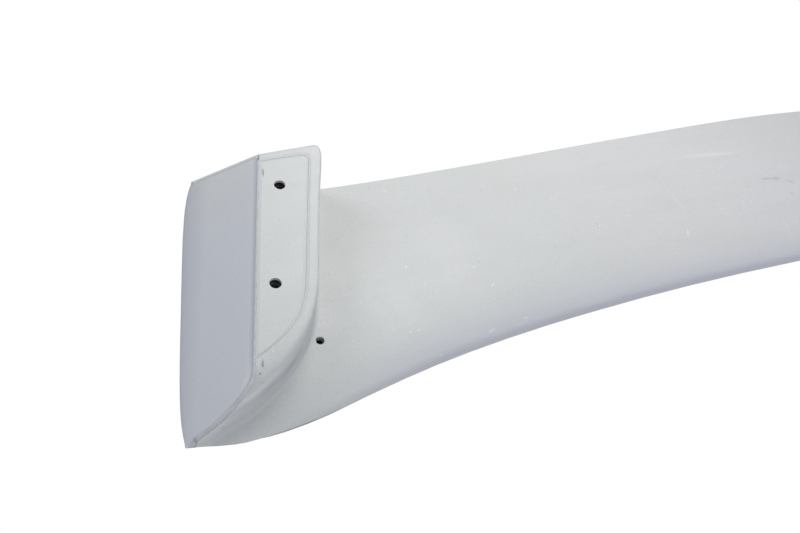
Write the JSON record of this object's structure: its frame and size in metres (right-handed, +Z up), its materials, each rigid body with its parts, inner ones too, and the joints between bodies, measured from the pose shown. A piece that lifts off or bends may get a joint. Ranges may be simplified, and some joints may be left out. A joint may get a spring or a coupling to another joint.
{
  "type": "boot lid rear wing",
  "caption": "Grey glass-fibre rear wing for a racing saloon: a wide shallow blade with a hollow moulded foot at each end that bolts down to the boot lid.",
  "frame": {"origin": "middle of the wing's length and depth, on the plane of the foot pads", "axes": "+X along the span to the right seen from behind, +Y rearward to the thin trailing edge, +Z up"},
  "size_m": [1.3204, 0.2401, 0.0703],
  "materials": {
    "gelcoat": "satin grey gelcoat and primer",
    "laminate_web": "raw glass-fibre laminate",
    "bond_paste": "bonding paste",
    "steel_plate": "bright zinc plate",
    "zinc_nut": "yellowed zinc plate",
    "foam": "closed-cell foam"
  },
  "bodies": {
    "root": {"lower_skin": "gelcoat", "upper_skin": "gelcoat", "front_spar": "laminate_web", "rear_spar": "laminate_web", "leading_edge_bond": "bond_paste", "trailing_edge_bond": "bond_paste", "mounting_nuts": "zinc_nut", "underside_inserts": "zinc_nut", "centre_rib": "laminate_web", "right_inner_rib": "laminate_web", "left_inner_rib": "laminate_web", "right_outer_rib": "laminate_web", "left_outer_rib": "laminate_web", "right_foot_panel": "gelcoat", "right_foot_plate": "steel_plate", "right_foot_foam": "foam", "right_seam_bond": "bond_paste", "right_panel_bond": "gelcoat", "left_foot_panel": "gelcoat", "left_foot_plate": "steel_plate", "left_foot_foam": "foam", "left_seam_bond": "bond_paste", "left_panel_bond": "gelcoat"}
  },
  "joints": []
}
